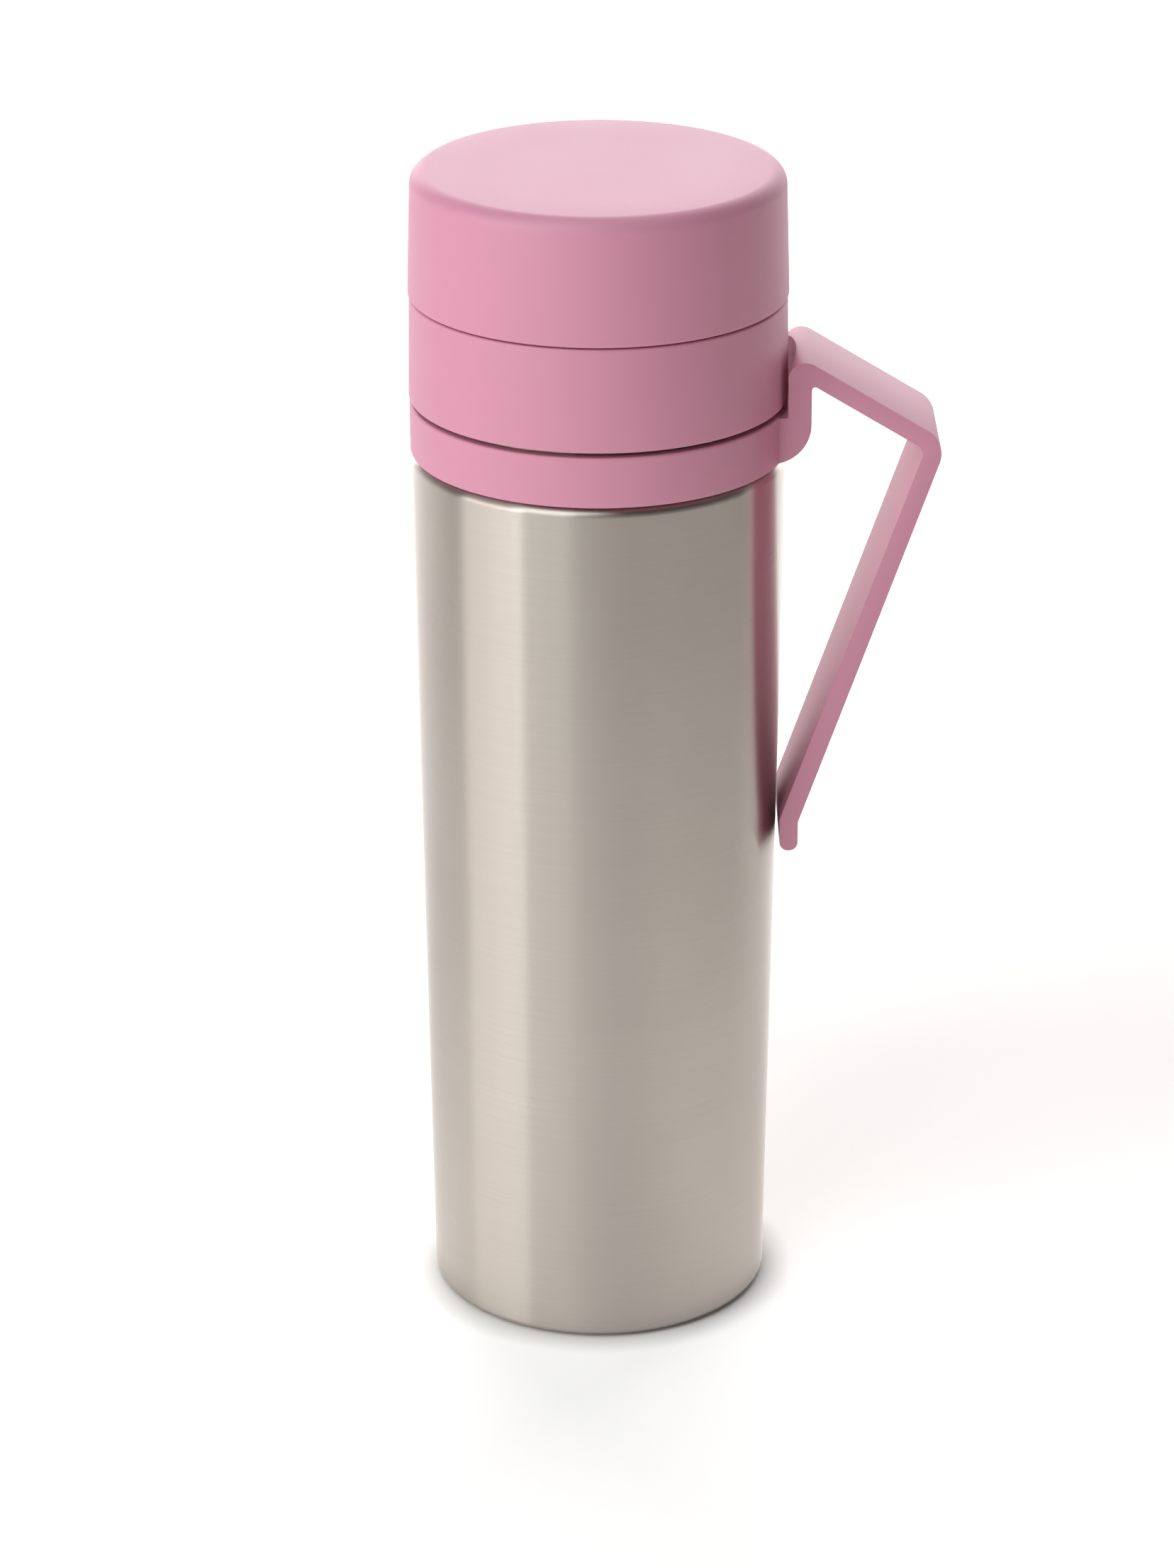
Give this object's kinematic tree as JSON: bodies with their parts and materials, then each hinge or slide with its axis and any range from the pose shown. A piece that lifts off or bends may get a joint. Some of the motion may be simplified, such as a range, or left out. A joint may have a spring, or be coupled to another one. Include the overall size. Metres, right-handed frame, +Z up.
{
  "type": "insulated shaker flask",
  "caption": "Tapered double-wall steel shaker flask with a two-part pink screw lid, drinking spout, mixing screen and swivelling strap handle.",
  "frame": {"origin": "centre of the pad's lower face, on the bottle's axis, at the level that the flask stands on", "axes": "+Z up along the bottle's axis; +X towards the handle; the flask is mirror-symmetric across the XZ plane apart from its threads"},
  "size_m": [0.1026, 0.0734, 0.2347],
  "materials": {
    "brushed_steel": "fine circumferential brushing, satin",
    "liner_steel": "electropolished, soft satin",
    "copper_foil": "bright thin foil",
    "solder": "dull solidified bead",
    "getter_alloy": "sintered, matt",
    "charcoal_silicone": "matt, fine grain",
    "pink_plastic": "satin, very fine moulded texture",
    "clear_silicone": "translucent, matt",
    "ivory_plastic": "food-grade plastic, satin",
    "insulation_foam": "fine closed-cell foam"
  },
  "bodies": {
    "flask": {"outer_shell": "brushed_steel", "inner_vessel": "liner_steel", "radiation_foil": "copper_foil", "base_plate": "liner_steel", "vacuum_seal": "solder", "getter": "getter_alloy", "base_cover": "brushed_steel", "base_pad": "charcoal_silicone"},
    "handle": {"carry_handle": "pink_plastic"},
    "neck_seal": {"neck_gasket": "clear_silicone"},
    "drinking_lid": {"lid_skirt": "pink_plastic", "lid_insert": "ivory_plastic"},
    "screen": {"mixing_screen": "ivory_plastic"},
    "cap_seal": {"cap_gasket": "clear_silicone"},
    "cap": {"cap_shell": "pink_plastic", "cap_liner": "ivory_plastic", "cap_insulation": "insulation_foam"}
  },
  "joints": [
    {"name": "handle_swivel", "type": "hinge", "parent": "flask", "child": "handle", "pos_m": [0, 0, 0.184], "axis": [0, 0, 1], "continuous": true},
    {"name": "lid_lift", "type": "slide", "parent": "flask", "child": "neck_seal", "axis": [0, 0, 1], "range_m": [0, 0.0301]},
    {"name": "lid_turn", "type": "hinge", "parent": "neck_seal", "child": "drinking_lid", "pos_m": [0, 0, 0.2], "axis": [0, 0, 1], "range_deg": [0, 1200]},
    {"name": "screen_pull", "type": "slide", "parent": "drinking_lid", "child": "screen", "axis": [0, 0, -1], "range_m": [0, 0.012]},
    {"name": "cap_lift", "type": "slide", "parent": "drinking_lid", "child": "cap_seal", "axis": [0, 0, 1], "range_m": [0, 0.0241]},
    {"name": "cap_turn", "type": "hinge", "parent": "cap_seal", "child": "cap", "pos_m": [0, 0, 0.22], "axis": [0, 0, 1], "range_deg": [0, 1080]}
  ],
  "couplings": [
    {"joint": "lid_lift", "follows": "lid_turn", "m_per_rad": 0.0014324},
    {"joint": "cap_lift", "follows": "cap_turn", "m_per_rad": 0.0012732}
  ]
}
